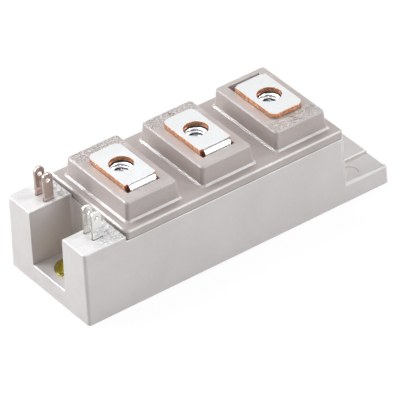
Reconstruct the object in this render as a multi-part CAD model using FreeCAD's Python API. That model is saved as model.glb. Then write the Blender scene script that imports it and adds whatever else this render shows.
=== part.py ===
"""Half-bridge power transistor module in a 34 mm wide screw-terminal case.

All lengths are in millimetres. X runs along the case, Y across it and Z up.
The origin is the centre of the underside. The end with the slot and the
control tabs is at -X.
"""
import FreeCAD, Part
import math
import os

from FreeCAD import Vector

# Case
case_length = 94.0
case_width = 34.0
case_height = 21.4
case_lean_deg = 0.95
case_corner_radius = 0.9
case_edge_bevel = 0.4
tower_edge_bevel = 0.2
block_edge_bevel = 0.25
block_length = 68.0
side_wall = 2.2
slot_wall = 1.0
tower_roof = 2.0
end_slot_width = 14.0
end_slot_lean_deg = 0.6
seat_ledge = 1.6
seat_ledge_height = 2.5

# End flange
flange_top = 5.4
flange_rim = 1.0
flange_pad_width = 16.0
flange_pocket_depth = 0.9
pad_edge_bevel = 0.25
pocket_mark_radius = 2.6
pocket_mark_depth = 0.15
pocket_mark_gap = 1.5

# Base plate and its sealing bead
plate_thickness = 3.0
plate_inset = 1.8
plate_proud = 0.2
plate_corner_radius = 2.0
seal_width = 0.9
seal_height = 0.5

# Mounting bushes
mounting_inset = 7.0
mounting_hole = 6.4
bush_wall = 0.6
bush_flange_width = 0.55
bush_flange_thickness = 0.5
bush_proud = 0.15

# Lid and its three terminal bosses
lid_rise = 1.05
lid_inset = 0.1
lid_seat_drop = 1.45
lid_edge_bevel = 0.4
lid_skirt_depth = 3.0
lid_skirt_wall = 1.5
boss_pitch = 23.0
boss_length = 15.4
boss_width = 25.9
boss_rise = 5.45
boss_lean_deg = 5.0
boss_corner_radius = 1.0
boss_edge_bevel = 0.35
boss_foot_bevel = 0.5
boss_wall = 1.8
rib_thickness = 1.4

# Main terminals
terminal_thickness = 1.0
terminal_lift = 0.5
terminal_width = 9.6
terminal_flat = 16.3
terminal_corner_radius = 1.9
terminal_hole = 6.5
terminal_bend_radius = 0.8
leg_width = 7.8
leg_gap_sides = 1.0
leg_gap_inside = 0.3
leg_gap_front = 0.1
leg_gap_rear = 1.7
leg_jog_level = 12.0
leg_jog_drop = 2.4
foot_width = 3.4
foot_reach = 4.1
foot_inset = 1.6

# Captive nuts and the wells under them
nut_flats = 9.0
nut_height = 4.0
nut_bore = 5.0
nut_chamfer = 0.45
nut_sink = 0.2
bolt_well = 6.6
bolt_reach = 11.0

# Control tabs
tab_width = 2.8
tab_thickness = 0.8
tab_rise = 8.0
tab_tip_radius = 1.15
tab_eye = 1.3
tab_eye_drop = 1.9
tab_inset = 7.4
tab_side_gap = 1.75
tab_shoulder = 0.9
tab_shoulder_height = 2.0
tab_arm_height = 2.0
tab_arm_level = 8.0
tab_pin_width = 1.2

# Circuit tiles, chips and bond wires
tile_gap = 2.0
tile_end_gap = 2.0
tile_side_gap = 0.4
tile_thickness = 0.63
copper_thickness = 0.3
copper_margin = 0.4
track_gap = 0.8
track_strip = 2.4
chip_thickness = 0.25
chip_gap = 1.0
diode_width = 5.6
diode_inset = 1.2
wire_diameter = 0.35
wire_rise = 1.5
wire_spacing = 2.4

# Soft gel and fits
gel_level = 13.5
fit_gap = 0.15
loose_gap = 0.3

# Levels, from the underside up
plate_top = plate_thickness
ceramic_bottom = plate_top + copper_thickness
track_bottom = ceramic_bottom + tile_thickness
track_top = track_bottom + copper_thickness
chip_top = track_top + chip_thickness
ledge_top = plate_top + seat_ledge_height
roof_under = case_height - tower_roof
lid_top = case_height + lid_rise
lid_seat = case_height - lid_seat_drop
boss_top = lid_top + boss_rise
nut_top = boss_top - nut_sink
terminal_under = boss_top + terminal_lift
terminal_middle = terminal_under + terminal_thickness / 2
terminal_top = terminal_under + terminal_thickness
tab_top = case_height + tab_rise

# Outline of the case and the room inside it
half_length = case_length / 2
half_width = case_width / 2
half_block = block_length / 2
half_slot = end_slot_width / 2
case_lean = math.tan(math.radians(case_lean_deg))
lean_in = case_lean * (case_height - plate_proud)
inner_half_width = half_width - lean_in - side_wall
inner_half_block = half_block - lean_in - side_wall
plate_half_length = half_length - plate_inset
plate_half_width = half_width - plate_inset
ledge_half_width = plate_half_width - seat_ledge
mounting_x = half_length - mounting_inset
bush_bore_radius = mounting_hole / 2
bush_radius = bush_bore_radius + bush_wall

# Bosses, terminals and tabs
boss_lean = math.tan(math.radians(boss_lean_deg))
boss_spread = boss_lean * boss_rise
boss_places = (-boss_pitch, 0, boss_pitch)
nut_corner_radius = nut_flats / math.sqrt(3)
leg_middle = terminal_flat / 2 + terminal_bend_radius
leg_inner = leg_middle - terminal_thickness / 2
leg_outer = leg_middle + terminal_thickness / 2
tab_x = -half_length + tab_inset
inner_tab_y = half_slot + slot_wall + 2 * fit_gap + tab_thickness / 2
outer_tab_y = inner_half_width - tab_side_gap - tab_thickness / 2

# Tiles and the layout of their tracks: u along a tile, v away from its pin corner
tile_length = inner_half_block - tile_end_gap - tile_gap / 2
tile_x = (tile_length + tile_gap) / 2
tile_half_width = ledge_half_width - tile_side_gap
copper_half_length = tile_length / 2 - copper_margin
copper_half_width = tile_half_width - copper_margin
pin_u = -copper_half_length + tab_pin_width
emitter_width = foot_width + 1.0
emitter_u = copper_half_length - emitter_width
emitter_v = copper_half_width - track_strip
collector_u0 = -copper_half_length + track_strip + track_gap
collector_u1 = emitter_u - track_gap
collector_v1 = emitter_v - track_gap
stem_y = copper_half_width - foot_inset - terminal_thickness / 2
foot_end_y = stem_y + terminal_thickness / 2 - foot_reach
chip_length = (collector_u1 - collector_u0 - 3 * chip_gap) / 2
chip_columns = (collector_u0 + chip_gap + chip_length / 2, collector_u1 - chip_gap - chip_length / 2)
diode_v1 = collector_v1 - copper_margin
diode_v0 = diode_v1 - diode_width
switch_v1 = diode_v0 - chip_gap
switch_v0 = -foot_end_y + chip_gap
gate_wire_v = switch_v0 - chip_gap / 2
gate_pad_v1 = gate_wire_v + track_gap + wire_diameter
circuit_room_top = track_top + 2 * (wire_rise + wire_diameter)


# Shapes used by several pieces

def block(x0, x1, y0, y1, z0, z1):
    return Part.makeBox(x1 - x0, y1 - y0, z1 - z0, Vector(x0, y0, z0))


def side_block(x0, x1, y_near, y_far, z0, z1):
    """Block whose two Y limits may come in either order."""
    return block(x0, x1, min(y_near, y_far), max(y_near, y_far), z0, z1)


def rod(x, y, z0, z1, radius):
    return Part.makeCylinder(radius, z1 - z0, Vector(x, y, z0))


def rectangle_points(x0, x1, y0, y1, z):
    return [Vector(x0, y0, z), Vector(x1, y0, z), Vector(x1, y1, z), Vector(x0, y1, z)]


def rounded_wire(points, radius, closed=True):
    """Straight runs through the points, each corner rounded by a tangent arc."""
    count = len(points)
    edges = []
    first = None
    start = None if closed else points[0]
    for i in range(count) if closed else range(1, count - 1):
        corner = points[i]
        back = (points[i - 1] - corner).normalize()
        ahead = (points[(i + 1) % count] - corner).normalize()
        half_angle = back.getAngle(ahead) / 2
        if math.pi / 2 - half_angle < 1e-6:
            continue
        reach = radius / math.tan(half_angle)
        middle = (back + ahead).normalize() * (radius / math.sin(half_angle) - radius)
        arc_start = corner + back * reach
        arc_end = corner + ahead * reach
        if start is None:
            first = arc_start
        elif start.distanceToPoint(arc_start) > 1e-6:
            edges.append(Part.LineSegment(start, arc_start).toShape())
        edges.append(Part.Arc(arc_start, corner + middle, arc_end).toShape())
        start = arc_end
    last = first if closed else points[-1]
    if start.distanceToPoint(last) > 1e-6:
        edges.append(Part.LineSegment(start, last).toShape())
    return Part.Wire(edges)


def rounded_block(x0, x1, y0, y1, z0, z1, radius):
    """Upright block with its four upright edges rounded."""
    face = Part.Face(rounded_wire(rectangle_points(x0, x1, y0, y1, z0), radius))
    return face.extrude(Vector(0, 0, z1 - z0))


def leaning_block(x0, x1, y0, y1, z0, z1, lean, radius=0):
    """Block whose four sides lean in by the given slope, with its leaning edges rounded."""
    step = lean * (z1 - z0)
    body = Part.makeWedge(x0, z0, -y1, -y1 + step, x0 + step, x1, z1, -y0, -y0 - step, x1 - step)
    body.rotate(Vector(0, 0, 0), Vector(1, 0, 0), 90)
    if not radius:
        return body
    return body.makeFillet(radius, [edge for edge in body.Edges if edge.BoundBox.ZLength > (z1 - z0) / 2])


def hexagon(x, z0, z1, flats):
    """Upright hexagonal prism with two corners on the line across the case."""
    corners = [Vector(x + flats / math.sqrt(3) * math.sin(k * math.pi / 3),
                      flats / math.sqrt(3) * math.cos(k * math.pi / 3), z0) for k in range(6)]
    return Part.Face(Part.makePolygon(corners + [corners[0]])).extrude(Vector(0, 0, z1 - z0))


def strip(path_points, radius, width, x):
    """Strip of terminal metal bent along a path in the plane across the case."""
    path = rounded_wire([Vector(x, y, z) for y, z in path_points], radius, closed=False)
    start = path.Vertexes[0].Point
    along = (path.Vertexes[1].Point - start).normalize()
    side = along.cross(Vector(1, 0, 0)) * (terminal_thickness / 2)
    half = Vector(width / 2, 0, 0)
    corners = [start - half - side, start + half - side, start + half + side, start - half + side]
    return path.makePipe(Part.Face(Part.makePolygon(corners + [corners[0]])))


def level_edges(shape, z):
    """Edges that lie wholly at one height."""
    return [edge for edge in shape.Edges
            if abs(edge.BoundBox.ZMin - z) < 1e-4 and abs(edge.BoundBox.ZMax - z) < 1e-4]


# Housing

def case_outside():
    """Leaning block and end flange with the end slot, the seat of the lid and two pockets cut out."""
    above = case_height + 1
    flange_step = case_lean * (flange_top - plate_proud)
    body = leaning_block(-half_length, half_length, -half_width, half_width,
                         plate_proud, flange_top, case_lean, case_corner_radius)
    body = body.makeChamfer(case_edge_bevel, level_edges(body, flange_top))
    main = leaning_block(-half_length, half_block + flange_step, -half_width, half_width,
                         plate_proud, case_height, case_lean, case_corner_radius)
    slot_lean = math.tan(math.radians(end_slot_lean_deg))
    slot = leaning_block(-case_length, -half_block, -half_slot, half_slot,
                         flange_top, above, -slot_lean, case_corner_radius)
    body = body.fuse(main).removeSplitter().cut(slot)
    slot_edge = [edge for edge in level_edges(body, flange_top)
                 if edge.CenterOfMass.x < case_corner_radius - half_length]
    body = body.makeChamfer(tower_edge_bevel, level_edges(body, case_height) + slot_edge)
    seat = block(-half_block, case_length, -case_width, case_width, lid_seat, above)
    body = body.cut([seat, flange_pocket(-1), flange_pocket(1)])
    rim = [edge for edge in level_edges(body, lid_seat)
           if edge.CenterOfMass.x > half_block - 1
           or abs(edge.CenterOfMass.y) > half_width - 1]
    body = body.makeChamfer(block_edge_bevel, rim)
    pad_edges = [edge for edge in level_edges(body, flange_top)
                 if abs(abs(edge.CenterOfMass.y) - flange_pad_width / 2) < 1e-4]
    return body.makeChamfer(pad_edge_bevel, pad_edges)


def case_room():
    """Room for the circuit: narrow at the ledge, wide above it, with one room in each tower."""
    above = case_height + 1
    room = block(-inner_half_block, inner_half_block, -ledge_half_width, ledge_half_width,
                 plate_top - 1, above)
    room = room.fuse(block(-inner_half_block, inner_half_block, -inner_half_width, inner_half_width,
                           ledge_top, above))
    tower_end = half_length - lean_in - side_wall
    for side in (-1, 1):
        room = room.fuse(side_block(-tower_end, -inner_half_block + 1,
                                    side * (half_slot + slot_wall), side * inner_half_width,
                                    ledge_top, roof_under))
    return room.removeSplitter()


def seal_ring(gap):
    """Frame of sealing compound on the plate, under the ledge of the case."""
    inner_x = inner_half_block + loose_gap
    inner_y = ledge_half_width + loose_gap
    outer_x = inner_x + seal_width
    outer_y = inner_y + seal_width
    ring = block(-outer_x - gap, outer_x + gap, -outer_y - gap, outer_y + gap,
                 plate_top, plate_top + seal_height)
    return ring.cut(block(-inner_x + gap, inner_x - gap, -inner_y + gap, inner_y - gap,
                          plate_top - 1, plate_top + seal_height + 1))


def flange_pocket(side):
    """Shallow pocket beside the pad of the end flange, open at the end, with a round pin mark."""
    pad_side = side * flange_pad_width / 2
    rim_side = side * (half_width - flange_rim)
    floor = flange_top - flange_pocket_depth
    pocket = side_block(half_block, case_length, pad_side, rim_side, floor, flange_top + 1)
    mark = rod(half_block + pocket_mark_gap + pocket_mark_radius, (pad_side + rim_side) / 2,
               floor - pocket_mark_depth, flange_top, pocket_mark_radius)
    return pocket.fuse(mark)


def bush_seat(x):
    """Hole through the case with a step for the rim of the bush."""
    step_level = flange_top + bush_proud - bush_flange_thickness
    hole = rod(x, 0, 0, flange_top + 1, bush_radius + fit_gap)
    return hole.fuse(rod(x, 0, step_level, flange_top + 1, bush_radius + bush_flange_width + fit_gap))


def housing():
    recess = rounded_block(-plate_half_length - fit_gap, plate_half_length + fit_gap,
                           -plate_half_width - fit_gap, plate_half_width + fit_gap,
                           plate_proud - 1, plate_top, plate_corner_radius)
    half_x = tab_width / 2 + fit_gap
    half_y = tab_thickness / 2 + fit_gap
    tab_slots = [block(tab_x - half_x, tab_x + half_x, y - half_y, y + half_y,
                       roof_under - 1, case_height + 1) for y in tab_rows()]
    return case_outside().cut(
        [case_room(), recess, seal_ring(fit_gap / 2), bush_seat(-mounting_x),
         bush_seat(mounting_x)] + tab_slots)


# Base plate and bushes

def base_plate():
    plate = rounded_block(-plate_half_length, plate_half_length, -plate_half_width, plate_half_width,
                          0, plate_thickness, plate_corner_radius)
    return plate.cut([rod(x, 0, -1, plate_thickness + 1, bush_radius + fit_gap)
                      for x in (-mounting_x, mounting_x)])


def mounting_bush(x):
    """Sleeve through flange and plate, with a thin rim on the flange."""
    rim_top = flange_top + bush_proud
    sleeve = rod(x, 0, 0, rim_top, bush_radius)
    rim = rod(x, 0, rim_top - bush_flange_thickness, rim_top, bush_radius + bush_flange_width)
    return sleeve.fuse(rim).cut(rod(x, 0, -1, rim_top + 1, bush_bore_radius))


# Lid

def leg_side(x):
    """The terminal at the +X end has its leg at the rear, the others at the front."""
    return 1 if x > boss_pitch / 2 else -1


def boss(x):
    """Leaning boss with bevelled upper edges and a bevelled foot."""
    half_x = boss_length / 2 + boss_spread
    half_y = boss_width / 2 + boss_spread
    body = leaning_block(x - half_x, x + half_x, -half_y, half_y, lid_top, boss_top,
                         boss_lean, boss_corner_radius)
    body = body.makeChamfer(boss_edge_bevel, level_edges(body, boss_top))
    half_x += boss_foot_bevel
    half_y += boss_foot_bevel
    foot = leaning_block(x - half_x, x + half_x, -half_y, half_y, lid_top, lid_top + boss_foot_bevel,
                         1, boss_corner_radius + boss_foot_bevel)
    return body.fuse(foot)


def boss_room(x):
    """Hollow under a boss."""
    half_x = boss_length / 2 + boss_spread - boss_wall
    half_y = boss_width / 2 + boss_spread - boss_wall
    return leaning_block(x - half_x, x + half_x, -half_y, half_y,
                         lid_seat - 1, boss_top - boss_wall, boss_lean)


def nut_column(x):
    """Column that holds the nut, with three ribs to the walls of its boss."""
    top = boss_top - boss_wall / 2
    half_rib = rib_thickness / 2
    column = rod(x, 0, terminal_top - bolt_reach - boss_wall, top, nut_corner_radius + boss_wall / 2)
    cross = block(x - boss_length / 2, x + boss_length / 2, -half_rib, half_rib, lid_seat, top)
    spine = side_block(x - half_rib, x + half_rib, 0, -leg_side(x) * boss_width / 2, lid_seat, top)
    return column.fuse([cross, spine])


def nut_well(x):
    """Hexagonal pocket for the nut, and the round well for the end of its screw."""
    pocket = hexagon(x, nut_top - nut_height, boss_top + 1, nut_flats + 2 * fit_gap)
    return pocket.fuse(rod(x, 0, terminal_top - bolt_reach, boss_top, bolt_well / 2))


def leg_slot(x):
    side = leg_side(x)
    outside_gap = leg_gap_rear if side > 0 else leg_gap_front
    half_x = leg_width / 2 + leg_gap_sides
    return side_block(x - half_x, x + half_x, side * (leg_inner - leg_gap_inside),
                      side * (leg_outer + outside_gap), boss_top - boss_wall - 1, boss_top + 1)


def lid_skirt():
    """Frame under the cover that locates it between the case walls."""
    outer_x = inner_half_block - fit_gap
    outer_y = inner_half_width - fit_gap
    skirt = block(-outer_x, outer_x, -outer_y, outer_y, lid_seat - lid_skirt_depth, lid_seat)
    inner_x = outer_x - lid_skirt_wall
    inner_y = outer_y - lid_skirt_wall
    return skirt.cut(block(-inner_x, inner_x, -inner_y, inner_y, 0, lid_top))


def lid():
    edge_x = half_block - lean_in - lid_inset
    edge_y = half_width - lean_in - lid_inset
    cover = rounded_block(-edge_x, edge_x, -edge_y, edge_y, lid_seat, lid_top, case_corner_radius)
    cover = cover.makeChamfer(lid_edge_bevel, level_edges(cover, lid_top))
    cover = cover.fuse([boss(x) for x in boss_places])
    cover = cover.cut([boss_room(x) for x in boss_places])
    cover = cover.fuse([lid_skirt()] + [nut_column(x) for x in boss_places]).removeSplitter()
    return cover.cut([nut_well(x) for x in boss_places] + [leg_slot(x) for x in boss_places])


# Main terminals and their nuts

def main_terminal(x, foot_x):
    """Drilled plate on the boss, with a jogged leg down to a foot on the circuit."""
    side = leg_side(x)
    half = terminal_width / 2
    flat = rounded_block(x - half, x + half, -terminal_flat / 2, terminal_flat / 2,
                         terminal_under, terminal_top, terminal_corner_radius)
    square_end = side_block(x - half, x + half, 0, side * terminal_flat / 2,
                            terminal_under, terminal_top)
    bend_start = (terminal_hole + terminal_flat) / 4
    leg = strip([(side * bend_start, terminal_middle), (side * leg_middle, terminal_middle),
                 (side * leg_middle, leg_jog_level)], terminal_bend_radius, leg_width, x)
    foot_middle = track_top + terminal_thickness / 2
    stem = strip([(side * leg_middle, leg_jog_level),
                  (side * leg_middle, leg_jog_level - terminal_bend_radius),
                  (side * stem_y, leg_jog_level - terminal_bend_radius - leg_jog_drop),
                  (side * stem_y, foot_middle),
                  (side * foot_end_y, foot_middle)], terminal_bend_radius, foot_width, foot_x)
    flat = flat.fuse([square_end, leg, stem]).removeSplitter()
    return flat.cut(rod(x, 0, terminal_under - 1, terminal_top + 1, terminal_hole / 2))


def terminal_nut(x):
    """Hexagonal nut with chamfered upper corners and a countersunk bore."""
    bottom = nut_top - nut_height
    body = rod(x, 0, bottom, nut_top, nut_corner_radius)
    body = body.makeChamfer(nut_chamfer, level_edges(body, nut_top))
    sink = Part.makeCone(nut_bore / 2 + nut_chamfer, nut_bore / 2, nut_chamfer,
                         Vector(x, 0, nut_top), Vector(0, 0, -1))
    return body.common(hexagon(x, bottom, nut_top, nut_flats)).cut(
        [rod(x, 0, bottom, nut_top, nut_bore / 2), sink])


# Control tabs

def tab_rows():
    """Y places of the four control tabs, from the rear to the front."""
    return (outer_tab_y, inner_tab_y, -inner_tab_y, -outer_tab_y)


def control_tab(y, pin_x):
    """Flat stamping: blade with an eye, shoulder under the roof, arm and soldered pin."""
    front = y - tab_thickness / 2
    rear = y + tab_thickness / 2
    half = tab_width / 2
    half_shoulder = half + tab_shoulder
    shoulder_under = roof_under - tab_shoulder_height
    arm_top = tab_arm_level + tab_arm_height
    pin_end = pin_x + tab_pin_width / 2
    blade = Part.Face(rounded_wire(
        [Vector(tab_x - half, front, shoulder_under), Vector(tab_x + half, front, shoulder_under),
         Vector(tab_x + half, front, tab_top), Vector(tab_x - half, front, tab_top)], tab_tip_radius))
    blade = blade.extrude(Vector(0, tab_thickness, 0))
    stamping = blade.fuse([
        block(tab_x - half_shoulder, tab_x + half_shoulder, front, rear, shoulder_under, roof_under),
        block(tab_x - half, tab_x + half, front, rear, tab_arm_level, shoulder_under),
        block(tab_x - half, pin_end, front, rear, tab_arm_level, arm_top),
        block(pin_end - tab_pin_width, pin_end, front, rear, track_top, arm_top)])
    eye = Part.makeCylinder(tab_eye / 2, 2 * tab_width, Vector(tab_x, y - tab_width, tab_top - tab_eye_drop),
                            Vector(0, 1, 0))
    return stamping.removeSplitter().cut(eye)


# Circuit tiles: ceramic, copper on both sides, chips and bond wires

def tile_layer(centre, bottom, top, margin):
    half_x = tile_length / 2 - margin
    half_y = tile_half_width - margin
    return block(centre - half_x, centre + half_x, -half_y, half_y, bottom, top)


def tile_tracks(centre, way):
    """Collector field, L-shaped emitter track and the two pads for the control pins."""
    def track(u0, u1, v0, v1):
        return side_block(centre + u0, centre + u1, way * v0, way * v1, track_bottom, track_top)

    between_tabs = (inner_tab_y + outer_tab_y) / 2
    pad_end = -copper_half_length + track_strip
    emitter = track(emitter_u, copper_half_length, -copper_half_width, copper_half_width)
    emitter = emitter.fuse(track(collector_u0, copper_half_length, emitter_v, copper_half_width))
    return Part.makeCompound([
        track(collector_u0, collector_u1, -copper_half_width, collector_v1),
        emitter.removeSplitter(),
        track(-copper_half_length, pad_end, -copper_half_width, -between_tabs - track_gap / 2),
        track(-copper_half_length, pad_end, -between_tabs + track_gap / 2, gate_pad_v1)])


def chip(centre, way, length, v0, v1):
    return side_block(centre - length / 2, centre + length / 2, way * v0, way * v1, track_top, chip_top)


def bond_wire(stops, rise):
    """Wire stitched from stop to stop, lying on each and looped between them.

    The wire is so thin that four flats stand for its round section.
    """
    up = Vector(0, 0, wire_diameter / 2)
    way = stops[-1] - stops[0]
    way = Vector(way.x, way.y, 0).normalize() * wire_diameter
    points = [stops[0] - way + up]
    for start, end in zip(stops, stops[1:]):
        shoulder = (end - start) / 3
        points += [start + way + up, start + shoulder + Vector(0, 0, rise),
                   end - shoulder + Vector(0, 0, rise), end - way + up]
    points.append(stops[-1] + way + up)
    across = way.cross(up).normalize() * (wire_diameter / 2)
    start = points[0]
    corners = [start - across - up, start + across - up, start + across + up, start - across + up]
    section = Part.makePolygon(corners + [corners[0]])
    return Part.makePolygon(points).makePipeShell([section], True, False, 1)


def power_wires(centre, way):
    """Two wires from each switch chip over its diode to the emitter track."""
    wires = []
    for u in chip_columns:
        for offset in (-wire_spacing / 2, wire_spacing / 2):
            x = centre + u + offset
            wires.append(bond_wire([Vector(x, way * (switch_v0 + switch_v1) / 2, chip_top),
                                    Vector(x, way * (diode_v0 + diode_v1) / 2, chip_top),
                                    Vector(x, way * (emitter_v + copper_half_width) / 2, track_top)],
                                   wire_rise))
    return Part.makeCompound(wires)


def control_wires(centre, way):
    """Gate wires to both switch chips, and a sense wire to the emitter of the first."""
    pad_u = -copper_half_length + 0.75 * track_strip
    sense_wire_v = -(inner_tab_y + outer_tab_y) / 2 - track_gap
    corner_v = switch_v0 + chip_gap / 2
    corner_us = [u - chip_length / 2 + chip_gap / 2 for u in chip_columns]
    runs = [(gate_wire_v, corner_us[0], corner_v), (gate_wire_v + track_gap, corner_us[1], corner_v),
            (sense_wire_v, corner_us[0], corner_v + 2 * chip_gap)]
    return Part.makeCompound([
        bond_wire([Vector(centre + pad_u, way * v0, track_top), Vector(centre + u1, way * v1, chip_top)],
                  wire_rise + terminal_thickness) for v0, u1, v1 in runs])


def link_wires():
    """Wires from the emitter track of one tile to the collector field of the other."""
    start_x = tile_x + collector_u0 + chip_gap
    end_x = -tile_x + collector_u1 - chip_gap
    front = -copper_half_width + copper_margin
    return Part.makeCompound([
        bond_wire([Vector(start_x, y, track_top), Vector(end_x, y, track_top)], 2 * wire_rise)
        for y in (front, front + 2 * wire_diameter)])


def silicone_gel(metal):
    """Soft gel over the circuit and round the tiles, clear of the chips and wires."""
    slab = block(-case_length, case_length, -case_width, case_width, plate_top, gel_level)
    room_x = tile_x + tile_length / 2 + loose_gap
    room_y = tile_half_width + tile_side_gap / 2
    circuit = block(-room_x, room_x, -room_y, room_y, plate_top - 1, circuit_room_top)
    return case_room().common(slab).cut([circuit] + metal)


def tile_pieces(centre, way):
    """Every piece of one tile, by the first part of its name."""
    pieces = {"tile_back_copper": tile_layer(centre, plate_top, ceramic_bottom, copper_margin),
              "tile_ceramic": tile_layer(centre, ceramic_bottom, track_bottom, 0),
              "tile_tracks": tile_tracks(centre, way),
              "power_wires": power_wires(centre, way),
              "control_wires": control_wires(centre, way)}
    for number, u in enumerate(chip_columns, 1):
        pieces["switch_chip_%d" % number] = chip(centre + u, way, chip_length, switch_v0, switch_v1)
        pieces["diode_chip_%d" % number] = chip(centre + u, way, chip_length - 2 * diode_inset,
                                                diode_v0, diode_v1)
    return pieces


def module():
    """Every piece of the module, by name."""
    pieces = {"housing": housing(), "lid": lid(), "base_plate": base_plate(), "base_seal": seal_ring(0),
              "mounting_bush_left": mounting_bush(-mounting_x),
              "mounting_bush_right": mounting_bush(mounting_x), "link_wires": link_wires()}
    foot_places = (-tile_x + collector_u0 + copper_margin + foot_width / 2,
                   -tile_x + emitter_u + emitter_width / 2,
                   tile_x + collector_u1 - copper_margin - foot_width / 2)
    metal = []
    for number, (x, foot_x) in enumerate(zip(boss_places, foot_places), 1):
        pieces["main_terminal_%d" % number] = main_terminal(x, foot_x)
        pieces["terminal_nut_%d" % number] = terminal_nut(x)
        metal.append(pieces["main_terminal_%d" % number])
    for number, y in enumerate(tab_rows(), 4):
        tile = tile_x if y > 0 else -tile_x
        pieces["control_tab_%d" % number] = control_tab(y, tile + pin_u)
        metal.append(pieces["control_tab_%d" % number])
    for switch, centre, way in (("low", -tile_x, 1), ("high", tile_x, -1)):
        for name, shape in tile_pieces(centre, way).items():
            pieces[name + "_" + switch] = shape
    pieces["silicone_gel"] = silicone_gel(metal)
    return pieces


os.makedirs("parts", exist_ok=True)
for piece_name, piece in module().items():
    piece.exportStep("parts/" + piece_name + ".step")
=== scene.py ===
# %% [markdown]
# # A screw-terminal power module, dressed for a studio picture
# The module is a block of pale moulded plastic, 94 mm long. A lid with three
# bosses carries three tinned copper terminals with captive nuts. Four flat
# tabs stand at the slotted end. The solids come from the CAD model, already
# in place and at their real size, so this script only gives them their
# finish, works on their edges and adds what is too fine for CAD.

# %% Load the CAD frame
import math

import bmesh
import bpy
from mathutils import Matrix, Vector


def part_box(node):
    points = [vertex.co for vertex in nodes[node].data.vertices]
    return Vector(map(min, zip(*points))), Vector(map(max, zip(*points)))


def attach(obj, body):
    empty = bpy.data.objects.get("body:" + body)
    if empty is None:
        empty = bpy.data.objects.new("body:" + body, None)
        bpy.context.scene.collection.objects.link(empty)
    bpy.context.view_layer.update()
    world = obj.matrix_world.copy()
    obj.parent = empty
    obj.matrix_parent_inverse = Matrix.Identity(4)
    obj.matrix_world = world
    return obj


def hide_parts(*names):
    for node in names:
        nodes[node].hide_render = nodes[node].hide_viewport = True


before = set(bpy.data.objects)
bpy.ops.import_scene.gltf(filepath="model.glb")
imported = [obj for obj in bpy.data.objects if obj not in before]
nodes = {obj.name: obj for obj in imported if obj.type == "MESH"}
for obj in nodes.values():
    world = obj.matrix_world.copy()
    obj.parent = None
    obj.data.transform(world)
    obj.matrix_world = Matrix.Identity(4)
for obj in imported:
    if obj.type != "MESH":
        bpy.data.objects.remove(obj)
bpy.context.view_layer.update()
print("nodes:", len(nodes))

# %% [markdown]
# ## Units and colours
# Blender works in metres, and a maker thinks in millimetres, so one value
# turns the one into the other. Colours are written as the hex codes of a
# colour picker. Shaders want linear light, so one function converts them.

# %% Helpers for units and colours
MM = 0.001


def linear(code):
    """Linear colour, with alpha, of an sRGB hex code."""
    shares = [int(code[i:i + 2], 16) / 255 for i in (1, 3, 5)]
    return [c / 12.92 if c <= 0.04045 else ((c + 0.055) / 1.055) ** 2.4 for c in shares] + [1.0]


def per_size(size_mm):
    """Texture scale at which the pattern repeats about once every size_mm."""
    return 1.0 / (size_mm * MM)


print("middle grey #808080 is", round(linear("#808080")[0], 3), "in linear light")

# %% [markdown]
# ## The camera first
# The photograph was taken from far away with a long lens, so the edges hardly
# converge. The camera stands 1.2 m off, in front of the slotted end and 36
# degrees up, and it leans a little to one side. Its axes are written out as
# the columns of a rotation, which says the lean without any angles to chain.

# %% Camera
view_right = Vector((0.806050, -0.589404, -0.053718))
view_up = Vector((0.383530, 0.451056, 0.805886))
view_back = Vector((-0.450763, -0.670187, 0.589628))
camera_data = bpy.data.cameras.new("long_lens")
camera_data.sensor_width = 36
camera_data.lens = 421.5
camera_data.clip_start = 0.05
camera_data.clip_end = 20
camera = bpy.data.objects.new("camera", camera_data)
bpy.context.scene.collection.objects.link(camera)
turn = Matrix((view_right, view_up, view_back)).transposed().to_4x4()
camera.matrix_world = Matrix.Translation(Vector((-534.94, -795.10, 706.80)) * MM) @ turn
bpy.context.scene.camera = camera
bpy.context.scene.view_settings.view_transform = "Standard"
print("camera stands off by", round(camera.matrix_world.translation.length, 2), "m")

# %% [markdown]
# ## One small helper for shader nodes
# A material is a graph of nodes. Each call below adds one node, sets its
# options by name and fills its sockets, either with a value or with a link
# from another node. That keeps a whole finish readable in a dozen lines. A
# socket is called by its name where that is unique. In the Mix, Math and Map
# Range nodes several sockets share a name, so there it is called by its number.

# %% Material helpers
def add_node(tree, kind, sockets=None, **options):
    """Add a shader node. A socket is filled with a value, or linked to another node's socket."""
    node = tree.nodes.new("ShaderNode" + kind)
    for name, value in options.items():
        setattr(node, name, value)
    for name, value in (sockets or {}).items():
        if isinstance(value, bpy.types.NodeSocket):
            tree.links.new(value, node.inputs[name])
        else:
            node.inputs[name].default_value = value
    return node


def new_material(name):
    """An empty material and its node tree."""
    material = bpy.data.materials.new(name)
    material.use_nodes = True
    material.node_tree.nodes.clear()
    return material, material.node_tree


def close(tree, shader):
    """Link a shader to the material's output."""
    add_node(tree, "OutputMaterial", {"Surface": shader.outputs[0]})


# %% [markdown]
# ## Moulded plastic
# Case and lid are glass-filled polyester, injection moulded in a spark-eroded
# mould. The resin flows into the mould, so its tone drifts a little over
# centimetres. The mould's skin leaves a fine grain, and the gloss is low but
# still catches light along every edge. The grain is really about 0.1 mm, and
# it is drawn at 0.35 mm so that it shows. The case is a pale warm grey, and
# the lid is the same resin with a browner filler. Round the numbers the
# mould is eroded more coarsely, which leaves a patch of small pebbles. Along
# the lower edge of the lid, where it sits in the case, a dark line is painted
# as the shade in the seam.
# The patches come first. Each is a few nodes that give 1 where the mould is
# coarse and 0 elsewhere, worked out from the place on the object.

# %% Where the mould is coarse
def tower_patch(tree, place):
    """1 on the inner part of the tower tops, beside the lid, and 0 towards the end."""
    along = add_node(tree, "SeparateXYZ", {"Vector": place}).outputs["X"]
    return add_node(tree, "MapRange", {0: along, 1: -41.0 * MM, 2: -39.0 * MM}).outputs[0]


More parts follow.
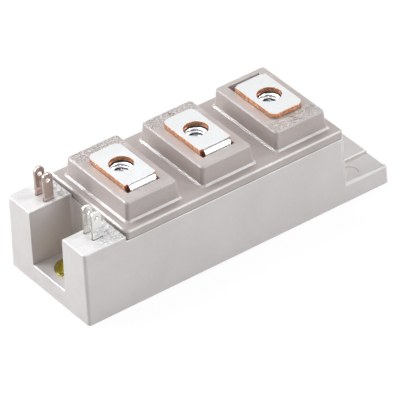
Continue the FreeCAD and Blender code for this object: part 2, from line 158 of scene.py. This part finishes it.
def boss_patch(tree, place):
    """1 on each boss beyond the free end of its terminal: the third points the other way."""
    parts = add_node(tree, "SeparateXYZ", {"Vector": place})
    third = add_node(tree, "Math", {0: parts.outputs["X"], 1: 11.5 * MM}, operation="GREATER_THAN")
    facing = add_node(tree, "MapRange", {0: third.outputs[0], 3: 1.0, 4: -1.0})
    reach = add_node(tree, "Math", {0: parts.outputs["Y"], 1: facing.outputs[0]},
                     operation="MULTIPLY")
    return add_node(tree, "MapRange", {0: reach.outputs[0], 1: 7.5 * MM, 2: 9.0 * MM}).outputs[0]


# %% [markdown]
# ## The resin itself
# One function makes every moulded finish, because they differ only in tone,
# gloss and grain. Slow noise drifts the tone, a finer one speckles it, and
# three bumps lie on top of each other: sink marks as wide as a fingertip, the
# grain of the mould's skin, and the pebbles of the coarse patches. The high
# spots of the pebbles are also painted in a lighter tone, a painted highlight.
# An edge finish is the same resin with less roughness, so the edge gives back
# a lamp as a thin bright line, and its lighter tone is a painted highlight.

# %% Moulded polyester
# The dark band just above the seat of the lid is painted shade in the seam between lid and case.
SEAM_SHADE_FOOT = 0.12 * MM
SEAM_SHADE_TOP = 0.2 * MM
SEAM_SHADE_TONE = "#5C5250"


def moulded_polyester(name, pale, deep, gloss, grain_share, patch=None, pebble_highlight_tone="#F2ECE8",
                      seam_shade_level=None):
    """Moulded resin; gloss is its roughness, and grain_share how much of the mould's grain is left.

    patch adds the nodes that tell where the mould is eroded coarsely. There
    the high spots of the pebbles are painted in a lighter tone, a painted
    highlight, given by the pebble tone. The last argument is the height in
    metres of the seat of the lid, above which a dark band is painted as the
    shade in the seam.
    """
    material, tree = new_material(name)
    place = add_node(tree, "TexCoord").outputs["Object"]
    drift = add_node(tree, "TexNoise", {"Vector": place, "Scale": per_size(14), "Detail": 3.0,
                                        "Roughness": 0.55, "Distortion": 0.6})
    speckle = add_node(tree, "TexNoise", {"Vector": place, "Scale": per_size(0.8), "Detail": 2.0})
    tone = add_node(tree, "Mix", {0: 0.3, 2: drift.outputs["Fac"], 3: speckle.outputs["Fac"]})
    spread = add_node(tree, "MapRange", {0: tone.outputs[0], 1: 0.35, 2: 0.65})
    colour = add_node(tree, "Mix", {0: spread.outputs[0], 6: linear(pale), 7: linear(deep)},
                      data_type="RGBA")
    # Painted shade: the colour turns dark in a thin band just above the seam of the lid.
    if seam_shade_level is not None:
        height = add_node(tree, "SeparateXYZ", {"Vector": place}).outputs["Z"]
        line = add_node(tree, "MapRange", {0: height, 1: seam_shade_level + SEAM_SHADE_FOOT,
                                           2: seam_shade_level + SEAM_SHADE_TOP, 3: 1.0, 4: 0.0})
        colour = add_node(tree, "Mix", {0: line.outputs[0], 6: colour.outputs[2],
                                        7: linear(SEAM_SHADE_TONE)}, data_type="RGBA")
    sheen = add_node(tree, "MapRange", {0: drift.outputs["Fac"], 1: 0.3, 2: 0.7,
                                        3: gloss - 0.04, 4: gloss + 0.06})
    grain = add_node(tree, "TexNoise", {"Vector": place, "Scale": per_size(0.35), "Detail": 4.0,
                                        "Roughness": 0.6})
    waves = add_node(tree, "TexNoise", {"Vector": place, "Scale": per_size(9), "Detail": 1.0})
    sink = add_node(tree, "Bump", {"Strength": 0.25 * grain_share, "Distance": 0.15 * MM,
                                   "Height": waves.outputs["Fac"]})
    skin = add_node(tree, "Bump", {"Strength": 0.35 * grain_share, "Distance": 0.02 * MM,
                                   "Height": grain.outputs["Fac"], "Normal": sink.outputs[0]})
    if patch:
        inside = patch(tree, place)
        pebbles = add_node(tree, "TexNoise", {"Vector": place, "Scale": per_size(0.9),
                                              "Detail": 1.5})
        pebble = add_node(tree, "MapRange", {0: pebbles.outputs["Fac"], 1: 0.4, 2: 0.6})
        skin = add_node(tree, "Bump", {"Strength": inside, "Distance": 0.4 * MM,
                                       "Height": pebble.outputs[0], "Normal": skin.outputs[0]})
        # The pebbles are a real bump; their high spots are also painted lighter, a painted
        # highlight.
        pebble_highlight_mask = add_node(tree, "Math", {0: inside, 1: pebble.outputs[0]}, operation="MULTIPLY")
        colour = add_node(tree, "Mix", {0: pebble_highlight_mask.outputs[0], 6: colour.outputs[2],
                                        7: linear(pebble_highlight_tone)}, data_type="RGBA")
    close(tree, add_node(tree, "BsdfPrincipled", {
        "Base Color": colour.outputs[2], "Roughness": sheen.outputs[0], "IOR": 1.54,
        "Normal": skin.outputs[0]}))
    return material


# %% The plastics of this module
SEAT_DEPTH = 1.45 * MM
LID_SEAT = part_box("housing")[1].z - SEAT_DEPTH
case_finish = moulded_polyester("moulded polyester, pale warm grey",
                                "#D0C6C2", "#C8BEB9", 0.38, 1.0)
# The tower tops get a lighter copy of the case resin: painted light on the faces that look up.
lit_tower_top_finish = moulded_polyester("coarsely eroded polyester, pale warm grey",
                                 "#E1D9D5", "#D7CFCB", 0.36, 1.0, patch=tower_patch)
lid_finish = moulded_polyester("moulded polyester, warm grey",
                               "#B8AAA4", "#AE9F99", 0.32, 0.7, seam_shade_level=LID_SEAT)
# The boss tops get a slightly lighter copy of the lid resin: painted light on the faces that look
# up.
lit_boss_top_finish = moulded_polyester("coarsely eroded polyester, warm grey", "#BCAFA9", "#B2A49E",
                                0.32, 0.7, patch=boss_patch, pebble_highlight_tone="#CBBFB9")
# The edge finishes are smoother than the faces beside them, and their lighter tone is a painted
# highlight.
case_edge_highlight = moulded_polyester("polyester edge, pale grey with painted highlight",
                              "#DDD4D0", "#D5CCC7", 0.28, 0.4)
lid_edge_highlight = moulded_polyester("polyester edge, warm grey with painted highlight",
                             "#CABEB8", "#BFB2AC", 0.27, 0.2)
print("the lid sits at", round(LID_SEAT / MM, 2), "mm;", len(bpy.data.materials), "materials")

# %% [markdown]
# ## Tinned copper and its bare cut edges
# The terminals are punched from copper sheet that was tinned before punching.
# So the broad faces are bright tin with faint rolling lines along the strip,
# and every cut edge shows bare copper. Punching drags the tin over the upper
# corner and tears the lower half of the edge, which is why the copper is
# streaked. Two materials make this: tin on the faces, copper on the cuts.

# %% Tin plate
PATINA = "#DDDFE2"


def plated_sheet(name, tint, gloss, line_mm):
    """Bright plating on rolled sheet, with rolling lines along Y and a cloudy patina."""
    material, tree = new_material(name)
    place = add_node(tree, "TexCoord").outputs["Object"]
    stretch = add_node(tree, "Mapping", {"Vector": place, "Scale": (1.0, 0.04, 1.0)})
    lines = add_node(tree, "TexNoise", {"Vector": stretch.outputs[0], "Scale": per_size(line_mm),
                                        "Detail": 3.0, "Roughness": 0.7})
    cloud = add_node(tree, "TexNoise", {"Vector": place, "Scale": per_size(4), "Detail": 4.0})
    colour = add_node(tree, "Mix", {0: cloud.outputs["Fac"], 6: linear(tint), 7: linear(PATINA)},
                      data_type="RGBA")
    blur = add_node(tree, "MapRange", {0: cloud.outputs["Fac"], 1: 0.3, 2: 0.7,
                                       3: gloss, 4: gloss + 0.1})
    score = add_node(tree, "Bump", {"Strength": 0.15, "Distance": 0.01 * MM,
                                    "Height": lines.outputs["Fac"]})
    close(tree, add_node(tree, "BsdfPrincipled", {
        "Base Color": colour.outputs[2], "Metallic": 1.0, "Roughness": blur.outputs[0],
        "Normal": score.outputs[0]}))
    return material


# %% Sheared, drawn and etched metal
def bare_metal(name, bright, dull, gloss, streak):
    """Bare metal whose tone varies in streaks; streak stretches the pattern on each axis."""
    material, tree = new_material(name)
    place = add_node(tree, "TexCoord").outputs["Object"]
    stretch = add_node(tree, "Mapping", {"Vector": place, "Scale": streak})
    tears = add_node(tree, "TexNoise", {"Vector": stretch.outputs[0], "Scale": per_size(0.5),
                                        "Detail": 3.0})
    spread = add_node(tree, "MapRange", {0: tears.outputs["Fac"], 1: 0.35, 2: 0.65})
    colour = add_node(tree, "Mix", {0: spread.outputs[0], 6: linear(bright), 7: linear(dull)},
                      data_type="RGBA")
    score = add_node(tree, "Bump", {"Strength": 0.3, "Distance": 0.02 * MM,
                                    "Height": tears.outputs["Fac"]})
    close(tree, add_node(tree, "BsdfPrincipled", {
        "Base Color": colour.outputs[2], "Metallic": 1.0, "Roughness": gloss,
        "Normal": score.outputs[0]}))
    return material


# %% [markdown]
# ## The ten metals
# Tin on rolled copper is a soft white mirror. On the thin tabs it is smoother,
# so they flash. On the rear pair the tin is tinted brown, a painted reflection
# of the shaded slot beside them. Ground and nickel-plated copper is a grey
# sheen. A sheared edge is dull and streaked from top to bottom, pink on copper
# and straw-coloured on brass. Etched foil is even and matt. Passivated brass
# is a greenish yellow with turning lines, zinc on steel is nearly white, and
# drawn wire shines along its length.

# %% The metals of this module
EVEN = (1.0, 1.0, 1.0)
tin_finish = plated_sheet("bright tin plate on rolled copper", "#F4F4F2", 0.16, 0.3)
tab_finish = plated_sheet("tin plate on punched brass", "#ECE9E4", 0.1, 0.2)
# The brown tint of this tin is a painted reflection of the shaded slot.
rear_tab_reflection_finish = plated_sheet("tin plate tinted with a painted brown reflection", "#C0907A", 0.1, 0.2)
base_finish = plated_sheet("satin nickel plate on ground copper", "#C9C5BC", 0.3, 0.25)
copper_finish = bare_metal("sheared copper edge", "#F4BF98", "#CB845B", 0.32, (1.0, 1.0, 0.35))
foil_finish = bare_metal("etched copper foil", "#D98E68", "#C2744F", 0.35, EVEN)
brass_finish = bare_metal("sheared brass edge", "#CFC6B8", "#9A8F80", 0.3, (1.0, 1.0, 0.4))
bush_finish = bare_metal("yellow passivated brass", "#D6CC6E", "#A89C44", 0.28, (1.0, 1.0, 0.2))
nut_finish = bare_metal("bright zinc plate on steel", "#F4F5F8", "#E2E5EA", 0.2, EVEN)
wire_finish = bare_metal("drawn aluminium wire", "#DADADB", "#BFC0C2", 0.3, (0.2, 1.0, 1.0))
print(len(bpy.data.materials), "materials with the metals")

# %% [markdown]
# ## The materials inside
# Nothing of the circuit shows until the lid is off, but a reader may take it
# off. Alumina is a white ceramic with a slight grain. A power chip is silicon
# under a grey-blue glass film with a rim that stays bare. The gel is a clear
# silicone, and the bead round the case is a dull grey one.

# %% Ceramic, silicon and silicones
def simple_finish(name, tone, shade, size_mm, sockets):
    """A dielectric whose colour drifts between two tones at the given size."""
    material, tree = new_material(name)
    place = add_node(tree, "TexCoord").outputs["Object"]
    drift = add_node(tree, "TexNoise", {"Vector": place, "Scale": per_size(size_mm), "Detail": 3.0})
    colour = add_node(tree, "Mix", {0: drift.outputs["Fac"], 6: linear(tone), 7: linear(shade)},
                      data_type="RGBA")
    bump = add_node(tree, "Bump", {"Strength": 0.2, "Distance": 0.01 * MM,
                                   "Height": drift.outputs["Fac"]})
    close(tree, add_node(tree, "BsdfPrincipled", {"Base Color": colour.outputs[2],
                                                  "Normal": bump.outputs[0], **sockets}))
    return material


ceramic_finish = simple_finish("sintered alumina", "#F1F0EA", "#E6E4DC", 0.3,
                               {"Roughness": 0.45, "IOR": 1.76})
chip_finish = simple_finish("silicon under a glass film", "#4A5260", "#3A404C", 2.0,
                            {"Roughness": 0.12, "IOR": 1.46, "Coat Weight": 1.0})
gel_finish = simple_finish("clear silicone gel", "#EEF3F2", "#E4EBEA", 6.0,
                           {"Roughness": 0.08, "IOR": 1.41, "Transmission Weight": 0.9})
seal_finish = simple_finish("cured silicone sealant", "#5A5C5E", "#4A4C4E", 0.6,
                            {"Roughness": 0.6, "IOR": 1.42})
print(len(bpy.data.materials), "materials with those inside")

# %% [markdown]
# ## Giving the CAD solids their finish
# Most solids already have the right shape, so they keep their own mesh and
# only get a material. The names tell which metal or plastic each one is.

# %% Materials on the CAD nodes
finishes = {"base_plate": base_finish, "base_seal": seal_finish, "silicone_gel": gel_finish,
            "tile_ceramic": ceramic_finish, "tile_tracks": foil_finish,
            "tile_back_copper": foil_finish, "switch_chip": chip_finish,
            "diode_chip": chip_finish, "power_wires": wire_finish,
            "control_wires": wire_finish, "link_wires": wire_finish,
            "mounting_bush": bush_finish, "terminal_nut": nut_finish,
            "control_tab": tab_finish, "main_terminal": tin_finish,
            "housing": case_finish, "lid": lid_finish}
for name, node in nodes.items():
    family = max((key for key in finishes if name.startswith(key)), key=len)
    node.data.materials.clear()
    node.data.materials.append(finishes[family])
print(len(nodes), "nodes have one of", len(set(finishes.values())), "finishes")

# %% [markdown]
# ## Rounding the edges
# No moulded or punched edge is perfectly sharp, and the thin bright line that
# a real edge catches is what makes it look solid. A solid's mesh may not be
# changed, so a copy of it is merged, its flat faces are joined, and a bevel
# goes along every edge that turns by more than 25 degrees. The copy then
# stands for the solid. The modifier lets no two roundings overlap, so the
# smallest faces of a piece limit all of its roundings. The bushes and three
# of the tabs get the radius that is asked for. On the lid, the terminals and
# the fourth tab about 0.02 mm is left of it, and on the case next to nothing.
# The bright lines of the mouldings come from the small bevels of the CAD
# model, which catch the lamps and also carry a lighter tone, a painted
# highlight. The modifier is still needed there: its narrow faces take up the
# turn of the shading at an edge, so that flat faces look flat.

# %% Copies with rounded edges
WIDE_RADIUS = 0.45 * MM
WIDE_STEPS = 5
MERGE_WITHIN = 0.0005 * MM
FLAT_WITHIN = math.radians(0.4)
SHARP_FROM = math.radians(25)


def rounded_copy(name, new_name, radius_mm, finish, segments=3, edge_finish=None,
                 edge_test=None, other_finish=None, other_test=None, wide_test=None):
    """A copy of a CAD node, with flat faces joined and edges rounded, that stands for the node.

    Faces that pass a test get its finish, and edges that pass wide_test a wider bevel first.
    """
    mesh = nodes[name].data.copy()
    mesh.name = new_name
    mesh.materials.clear()
    for material in (finish, edge_finish or finish, other_finish or finish):
        mesh.materials.append(material)
    shape = bmesh.new()
    shape.from_mesh(mesh)
    bmesh.ops.remove_doubles(shape, verts=shape.verts, dist=MERGE_WITHIN)
    bmesh.ops.dissolve_limit(shape, angle_limit=FLAT_WITHIN, verts=shape.verts,
                             edges=shape.edges, use_dissolve_boundaries=False)
    for face in shape.faces:
        face.smooth = True
        face.material_index = 0
        if edge_test and edge_test(face):
            face.material_index = 1
        if other_test and other_test(face):
            face.material_index = 2
    if wide_test:
        wide = [edge for edge in shape.edges if wide_test(edge)]
        rounded = bmesh.ops.bevel(shape, geom=wide, offset=WIDE_RADIUS, segments=WIDE_STEPS,
                                  profile=0.5, affect="EDGES", material=-1)
        # The faces of the wide bevel get the lighter edge finish, a painted highlight.
        for face in rounded["faces"]:
            face.material_index = 1
        print(len(wide), "wide edges give", len(rounded["faces"]), "faces")
    shape.to_mesh(mesh)
    shape.free()
    piece = bpy.data.objects.new(new_name, mesh)
    bpy.context.scene.collection.objects.link(piece)
    bevel = piece.modifiers.new("rounded edges", "BEVEL")
    bevel.width = radius_mm * MM
    bevel.segments = segments
    bevel.limit_method = "ANGLE"
    bevel.angle_limit = SHARP_FROM
    level = piece.modifiers.new("flat faces stay flat", "WEIGHTED_NORMAL")
    level.weight = 100
    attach(piece, "root")
    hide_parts(name)
    print(new_name, len(mesh.polygons), "faces before the bevel")
    return piece


# %% [markdown]
# ## Case and lid
# On both mouldings the tops get a lighter copy of their resin, which is
# painted light, and some of them coarse patches. The bevelled edges get a
# smoother finish in a lighter tone, which is a painted highlight. A few tests
# pick these faces by which way they look and how far they lie above the seat
# of the lid: a tower top is 1.45 mm above it and a boss top 7.95 mm. The
# upright corner of the block beside the end flange catches a broad line of
# light. It is round in the CAD model, a fan of narrow facets, and the nearly
# flat edges between these get a bevel of their own, which gets the lighter
# edge finish, the painted highlight, too.
# It is too wide for them: its faces lie partly over each other, and at the
# foot of the corner they lift a thin wedge out of the rim of the flange.

# %% Which faces and which edge
LEVEL = 0.95
LEANING = 0.3
ABOVE_SEAT = LID_SEAT + 1.0 * MM
BELOW_BOSSES = LID_SEAT + 3.5 * MM
ABOVE_WELLS = LID_SEAT + 7.0 * MM
BLOCK_END = (32.0 * MM, 36.0 * MM)
FRONT = -16.0 * MM
TALL = 8.0 * MM


def is_tower_top(face):
    """True for the flat top of either tower."""
    return face.normal.z > LEVEL and face.calc_center_median().z > ABOVE_SEAT


def is_boss_top(face):
    """True for the flat top of a boss."""
    return face.normal.z > LEVEL and face.calc_center_median().z > ABOVE_WELLS


def is_slanted(face):
    """True for a bevelled edge."""
    return LEANING < abs(face.normal.z) < LEVEL


def is_low_edge(face):
    """True for the bevels at the foot of the bosses and round the lid."""
    return is_slanted(face) and face.calc_center_median().z < BELOW_BOSSES


def is_block_corner(edge):
    """True for the edges between the facets of the block's rounded upright corner."""
    bottom, top = sorted((vert.co for vert in edge.verts), key=lambda place: place.z)
    at_end = BLOCK_END[0] < bottom.x < BLOCK_END[1]
    return top.z - bottom.z > TALL and at_end and max(bottom.y, top.y) < FRONT


# %% Case and lid
# The tower tops take the lighter copy of the resin, which is painted light.
rounded_copy("housing", "moulded_case", 0.15, case_finish,
             edge_finish=case_edge_highlight, edge_test=is_slanted,
             other_finish=lit_tower_top_finish, other_test=is_tower_top, wide_test=is_block_corner)
rounded_copy("lid", "moulded_lid", 0.24, lid_finish,
             edge_finish=lid_edge_highlight, edge_test=is_low_edge,
             other_finish=lit_boss_top_finish, other_test=is_boss_top)

# %% [markdown]
# ## Terminals with bare cut edges
# A terminal is one strip, and its broad faces are tinned. The cut edges are
# the faces that look along the case, the rim of the plate and the wall of the
# hole. They are found by where they face, and get the copper. The plate of the
# real terminal is a little thicker than that of the solid and lies closer to
# the boss, so the underside of each copy's plate is drawn down by 0.3 mm. A
# small groove stays along the inside of the bend, out of sight.

# %% Thicker plates and bare cuts
SHEET = 1.0 * MM
EXTRA = 0.3 * MM
FLAT_END = 8.2 * MM
CLOSE = 0.01 * MM


def is_cut(face, plate_top):
    """True for a face of the terminal that a punch or a shear has made."""
    if abs(face.normal.x) > LEANING:
        return True
    centre = face.calc_center_median()
    in_plate = plate_top - SHEET - EXTRA < centre.z < plate_top
    return in_plate and abs(centre.y) < FLAT_END and abs(face.normal.z) < LEANING


def draw_down(piece, plate_top):
    """Lower the underside of a terminal's plate, which makes the plate thicker."""
    for vert in piece.data.vertices:
        if abs(vert.co.z - plate_top + SHEET) < CLOSE:
            vert.co.z -= EXTRA


def bare_cuts(piece, metal, test):
    """Put a second metal on a piece and give it to the faces that pass the test."""
    piece.data.materials[1] = metal
    shape = bmesh.new()
    shape.from_mesh(piece.data)
    for face in shape.faces:
        face.material_index = int(test(face))
    shape.to_mesh(piece.data)
    shape.free()


# %% Terminals
for number in (1, 2, 3):
    name = "main_terminal_%d" % number
    plate_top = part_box(name)[1].z
    piece = rounded_copy(name, "tinned_terminal_%d" % number, 0.08, tin_finish,
                         segments=2)
    draw_down(piece, plate_top)
    bare_cuts(piece, copper_finish, lambda face: is_cut(face, plate_top))

# %% [markdown]
# ## Tabs and bushes
# The four tabs are punched like the terminals, but from thinner sheet. The
# rear pair gets a brown tint, a painted reflection of the shaded slot. The
# bushes are pressed rings, and all they need is a rounded rim.

# %% Tabs and bushes
for number in (4, 5, 6, 7):
    name = "control_tab_%d" % number
    # The rear pair is tinted brown: a painted reflection of the shaded slot.
    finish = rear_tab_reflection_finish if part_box(name)[0].y > 0 else tab_finish
    piece = rounded_copy(name, "punched_tab_%d" % number, 0.05, finish,
                         segments=2)
    bare_cuts(piece, brass_finish, lambda face: abs(face.normal.y) < LEANING)
for side in ("left", "right"):
    rounded_copy("mounting_bush_" + side, "pressed_bush_" + side, 0.1, bush_finish)

# %% [markdown]
# ## Captive nuts with a real thread
# Through each terminal's hole the eye meets a bright nut and the first turns
# of its thread. A thread is a toothed line swept round the bore while it
# climbs one pitch a turn. Where the sweep closes, each tooth meets the start
# of the next one, so merging doubles joins them into one helix. The ends are
# cut flat, and a countersink pushes the first teeth outwards. The rims are
# then drawn out to a round face and on to six flats, and the height follows
# the radius, so the corners turn down at 30 degrees with the usual scallops.

# %% Sizes of a nut
THREAD_PITCH = 1.0 * MM
CREST = 2.5 * MM
ROOT = 3.0 * MM
TOOTH = ((CREST, 0.0), (CREST, 0.14), (ROOT, 0.45), (ROOT, 0.69))
SINK = 0.5 * MM
FLATS = 9.0 * MM
FACE_RADIUS = 0.485 * FLATS
CROWN_SLOPE = math.tan(math.radians(30))
STEPS = 48
JOIN_WITHIN = 0.002 * MM
ON_CUT = 0.0001 * MM
print("crest to crest", 2 * CREST / MM, "mm, across the flats", FLATS / MM, "mm")


# %% From a rim to the next
def drawn_out(shape, rim, middle, radius_at, height_at):
    """Extrude an open rim and move its new points; the angle gives the radius, that the height."""
    made = bmesh.ops.extrude_edge_only(shape, edges=rim)["geom"]
    moved = {item for item in made if isinstance(item, bmesh.types.BMVert)}
    for vert in moved:
        angle = math.atan2(vert.co.y, vert.co.x - middle)
        radius = radius_at(angle)
        vert.co = (middle + radius * math.cos(angle), radius * math.sin(angle), height_at(radius))
    return [item for item in made if isinstance(item, bmesh.types.BMEdge)
            and moved.issuperset(item.verts)]


def hexagon_radius(angle):
    """Distance from the axis to the flat that faces this way, with flats towards +X and -X."""
    sixth = math.pi / 3
    from_middle = (angle + sixth / 2) % sixth - sixth / 2
    return FLATS / 2 / math.cos(from_middle)


print("axis to a corner:", round(hexagon_radius(math.pi / 6) / MM, 2), "mm")

# %% The thread
def cut_thread(shape, middle, bottom, top):
    """A helical thread round an upright axis, cut flat and countersunk at both ends."""
    teeth = []
    height = bottom - 1.5 * THREAD_PITCH
    while height < top + 0.5 * THREAD_PITCH:
        for radius, climb in TOOTH:
            teeth.append(shape.verts.new((middle + radius, 0, height + climb * THREAD_PITCH)))
        height += THREAD_PITCH
    line = [shape.edges.new(pair) for pair in zip(teeth, teeth[1:])]
    bmesh.ops.spin(shape, geom=teeth + line, cent=(middle, 0, 0), axis=(0, 0, 1),
                   dvec=(0, 0, THREAD_PITCH / STEPS), angle=2 * math.pi, steps=STEPS)
    bmesh.ops.remove_doubles(shape, verts=shape.verts, dist=JOIN_WITHIN)
    for level, direction in ((bottom, -1), (top, 1)):
        bmesh.ops.bisect_plane(shape, geom=shape.verts[:] + shape.edges[:] + shape.faces[:],
                               dist=ON_CUT, plane_co=(0, 0, level),
                               plane_no=(0, 0, direction), clear_outer=True)
    for vert in shape.verts:
        out = Vector((vert.co.x - middle, vert.co.y, 0))
        cone = CREST + SINK + vert.co.z - top
        cone = max(cone, CREST + SINK - (vert.co.z - bottom))
        if out.length < cone:
            vert.co += out.normalized() * (cone - out.length)


# %% Threaded nuts
def threaded_nut(name, new_name):
    """A hexagonal nut with a helical thread, in the place of the CAD node's plain one."""
    low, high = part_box(name)
    middle = (low.x + high.x) / 2
    shape = bmesh.new()
    cut_thread(shape, middle, low.z, high.z)
    rims = [[edge for edge in shape.edges if edge.is_boundary
             and all(abs(vert.co.z - level) < CLOSE for vert in edge.verts)]
            for level in (low.z, high.z)]
    crown = drawn_out(shape, rims[1], middle, lambda angle: FACE_RADIUS, lambda radius: high.z)
    crown = drawn_out(shape, crown, middle, hexagon_radius,
                      lambda radius: high.z - CROWN_SLOPE * (radius - FACE_RADIUS))
    foot = drawn_out(shape, rims[0], middle, hexagon_radius, lambda radius: low.z)
    bmesh.ops.bridge_loops(shape, edges=crown + foot)
    bmesh.ops.recalc_face_normals(shape, faces=shape.faces)
    open_edges = sum(edge.is_boundary for edge in shape.edges)
    mesh = bpy.data.meshes.new(new_name)
    shape.to_mesh(mesh)
    shape.free()
    mesh.materials.append(nut_finish)
    piece = bpy.data.objects.new(new_name, mesh)
    bpy.context.scene.collection.objects.link(piece)
    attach(piece, "root")
    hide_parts(name)
    print(new_name, len(mesh.polygons), "faces,", open_edges, "open edges")


for number in (1, 2, 3):
    threaded_nut("terminal_nut_%d" % number, "threaded_nut_%d" % number)

# %% [markdown]
# ## Raised numbers
# The mould has a small digit beside each connection: 1 to 3 at the free end
# of the terminals and 4 to 7 beside the tabs. They stand out by 0.19 mm, of
# which the last 0.04 mm is a rounded edge. A text object is the quickest way
# to a clean digit, and it is turned into a mesh before it is put in its place.

# %% A raised digit
DIGIT_HEIGHT = 0.15 * MM
DIGIT_EDGE = 0.04 * MM


def raised_digit(digit, x, y, z, size_mm, finish):
    """A digit that stands out of the plastic at a place given in millimetres."""
    curve = bpy.data.curves.new("digit_" + digit, "FONT")
    curve.body = digit
    curve.size = size_mm * MM
    curve.extrude = DIGIT_HEIGHT
    curve.bevel_depth = DIGIT_EDGE
    curve.align_x = "CENTER"
    curve.align_y = "CENTER"
    text = bpy.data.objects.new("text_" + digit, curve)
    bpy.context.scene.collection.objects.link(text)
    mesh = bpy.data.meshes.new_from_object(text)
    bpy.data.objects.remove(text)
    mesh.transform(Matrix.Translation(Vector((x, y, z)) * MM))
    mesh.materials.clear()
    mesh.materials.append(finish)
    piece = bpy.data.objects.new("raised_digit_" + digit, mesh)
    bpy.context.scene.collection.objects.link(piece)
    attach(piece, "root")
    print(piece.name, "at", round(x, 1), round(y, 1), round(z, 1), "mm")


# %% The seven digits
PITCH = 23.0
FREE_END = 10.6
BESIDE_LID = -36.2
boss_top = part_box("lid")[1].z / MM
tower_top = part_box("housing")[1].z / MM
for digit, x, y in (("1", -PITCH, FREE_END), ("2", 0.0, FREE_END), ("3", PITCH, -FREE_END)):
    raised_digit(digit, x, y, boss_top, 3.0, lid_finish)
for number in (4, 5, 6, 7):
    low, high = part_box("control_tab_%d" % number)
    raised_digit(str(number), BESIDE_LID, (low.y + high.y) / 2 / MM, tower_top, 2.8,
                 case_finish)

# %% [markdown]
# ## The floor and the light
# The object stands on white paper under large soft lamps. The camera should
# see that paper as pure white with only a breath of shadow, so for camera rays
# the floor is mostly a plain white glow with a little real, shadowed paper
# mixed in. Reflections see a good part of that glow too, and all other rays
# meet ordinary paper. The world gives no light of its own. It is white for the
# camera, and in reflections it is a white room with one dark opening high up,
# which puts a dark line into every polished bend.

# %% Floor
FLOOR_SIZE = 3.0
GLOW_SEEN = 0.9
GLOW_MIRRORED = 0.6
paper, tree = new_material("white studio paper")
rays = add_node(tree, "LightPath")
matt = add_node(tree, "BsdfDiffuse", {"Color": linear("#E6E4E2")})
glow = add_node(tree, "Emission", {"Color": linear("#FEFEFF"), "Strength": 1.04})
seen = add_node(tree, "Math", {0: rays.outputs["Is Camera Ray"], 1: GLOW_SEEN},
                operation="MULTIPLY")
mirrored = add_node(tree, "Math", {0: rays.outputs["Is Glossy Ray"], 1: GLOW_MIRRORED},
                    operation="MULTIPLY")
share = add_node(tree, "Math", {0: seen.outputs[0], 1: mirrored.outputs[0]}, operation="MAXIMUM")
close(tree, add_node(tree, "MixShader", {0: share.outputs[0], 1: matt.outputs[0],
                                         2: glow.outputs[0]}))
sheet = bmesh.new()
bmesh.ops.create_grid(sheet, x_segments=1, y_segments=1, size=FLOOR_SIZE)
floor_mesh = bpy.data.meshes.new("studio_paper")
sheet.to_mesh(floor_mesh)
sheet.free()
floor_mesh.materials.append(paper)
floor = bpy.data.objects.new("studio_paper", floor_mesh)
bpy.context.scene.collection.objects.link(floor)
print("paper:", round(floor.dimensions.x, 1), "m wide")

# %% World
OPENING = (0.45, 0.20, 0.87)
OPENING_RIM = 0.955
OPENING_CORE = 0.98
OPENING_LIGHT = 0.15
WHITE = (1.0, 1.0, 1.0, 1.0)
world = bpy.data.worlds.new("white studio")
bpy.context.scene.world = world
world.use_nodes = True
tree = world.node_tree
tree.nodes.clear()
rays = add_node(tree, "LightPath")
shown = add_node(tree, "Math", {0: rays.outputs["Is Camera Ray"],
                                1: rays.outputs["Is Glossy Ray"]}, operation="MAXIMUM")
shown = add_node(tree, "Math", {0: shown.outputs[0],
                                1: rays.outputs["Is Transmission Ray"]}, operation="MAXIMUM")
way = add_node(tree, "VectorMath", {0: add_node(tree, "TexCoord").outputs["Generated"],
                                    1: OPENING}, operation="DOT_PRODUCT")
ceiling = add_node(tree, "MapRange", {0: way.outputs["Value"], 1: OPENING_RIM, 2: OPENING_CORE,
                                      3: 1.0, 4: OPENING_LIGHT})
strength = add_node(tree, "Math", {0: ceiling.outputs[0], 1: shown.outputs[0]},
                    operation="MULTIPLY")
strength = add_node(tree, "Math", {0: strength.outputs[0], 1: rays.outputs["Is Camera Ray"]},
                    operation="MAXIMUM")
sky = add_node(tree, "Background", {"Color": WHITE, "Strength": strength.outputs[0]})
add_node(tree, "OutputWorld", {"Surface": sky.outputs[0]})
print("world:", len(tree.nodes), "nodes")

# %% [markdown]
# ## Five soft lamps and two strips
# The tones of a matt block tell where its light comes from. Here the end is
# lighter than the long wall and the slot is dark, so the light comes from a
# few soft boxes and hardly at all from the room. One stands at the left and
# somewhat behind, so it lights the end but not the back of the slot. One
# stands low in front and lights the long wall. The tops get theirs from one
# that hangs behind, one close overhead and one at the right. Two narrow strips
# hang where the upper edges mirror them to the camera, so that every edge gets
# its thin bright line. The light is slightly cool and the resin warm, which
# keeps the tin neutral beside it.

# %% A studio lamp
DAYLIGHT = (0.88, 0.95, 1.0)
BOX = (0.26, 0.24)
STRIP = (0.05, 0.26)
FAR = 0.7
NEAR = 0.3


def studio_lamp(name, way, distance, size, radiance):
    """A rectangular lamp of even brightness, seen from the object in the given direction."""
    width, height = size
    light = bpy.data.lights.new(name, "AREA")
    light.color = DAYLIGHT
    light.shape = "RECTANGLE"
    light.size = width
    light.size_y = height
    light.energy = radiance * math.pi * width * height
    lamp = bpy.data.objects.new(name, light)
    bpy.context.scene.collection.objects.link(lamp)
    way = Vector(way).normalized()
    lamp.location = way * distance
    lamp.rotation_euler = way.to_track_quat("Z", "Y").to_euler()
    print(name, round(light.energy, 2), "W")


# %% The lamps
studio_lamp("softbox_behind", (0.12, 0.42, 0.90), FAR, BOX, 10.2)
studio_lamp("softbox_overhead", (-0.45, 0.20, 0.87), NEAR, BOX, 1.8)
studio_lamp("softbox_right", (0.75, -0.10, 0.65), FAR, BOX, 8.2)
studio_lamp("softbox_left", (-0.80, 0.50, 0.24), FAR, BOX, 13.4)
studio_lamp("softbox_front", (0.38, -0.90, 0.14), FAR, BOX, 12.5)
studio_lamp("strip_front", (0.44, -0.60, 0.67), FAR, STRIP, 25.0)
studio_lamp("strip_left", (-0.60, 0.66, 0.44), FAR, STRIP, 36.0)
